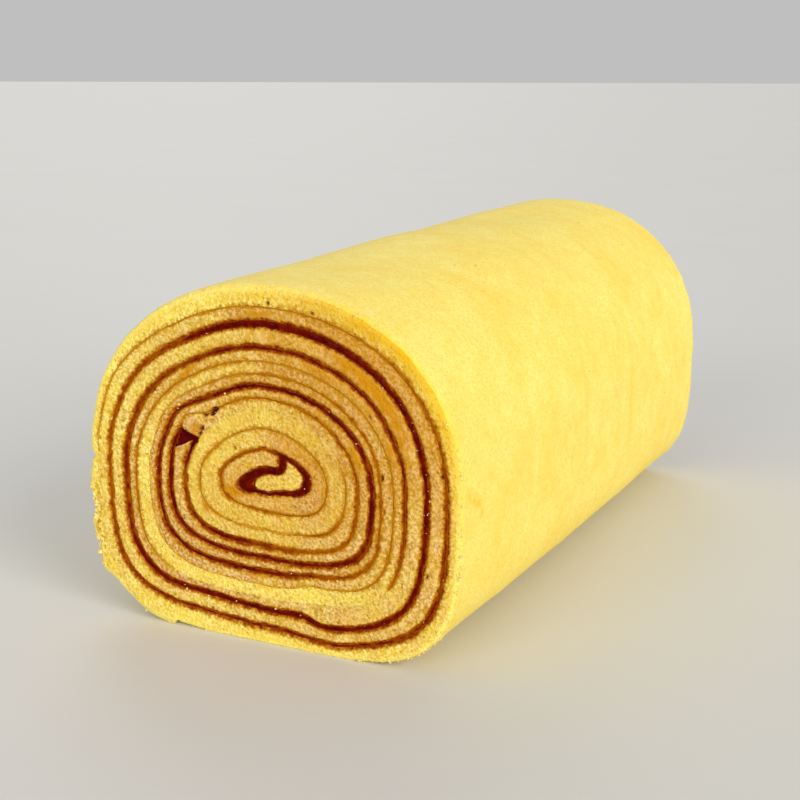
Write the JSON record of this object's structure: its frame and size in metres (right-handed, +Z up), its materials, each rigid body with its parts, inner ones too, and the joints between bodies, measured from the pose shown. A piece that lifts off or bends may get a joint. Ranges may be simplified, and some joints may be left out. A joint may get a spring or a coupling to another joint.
{
  "type": "swiss roll cake",
  "caption": "Long loaf of thin yellow sponge sheets wound in a tight spiral round a thin dark fruit filling, with cut ends, slumped to a flat base.",
  "frame": {"origin": "Middle of the length and width of the roll, on the plane of its flat underside.", "axes": "+Y along the roll, away from the cut face that shows the spiral. +X is to the right of that cut face as it is looked at, and +Z is up."},
  "size_m": [0.0858, 0.164, 0.0771],
  "materials": {
    "sponge": "matte",
    "skin": "matte",
    "filling": "gloss"
  },
  "bodies": {
    "root": {"sponge_tip": "sponge", "sponge_inner": "sponge", "sponge_middle": "sponge", "sponge_outer": "skin", "filling_core": "filling", "filling_middle": "filling", "filling_outer": "filling"}
  },
  "joints": []
}
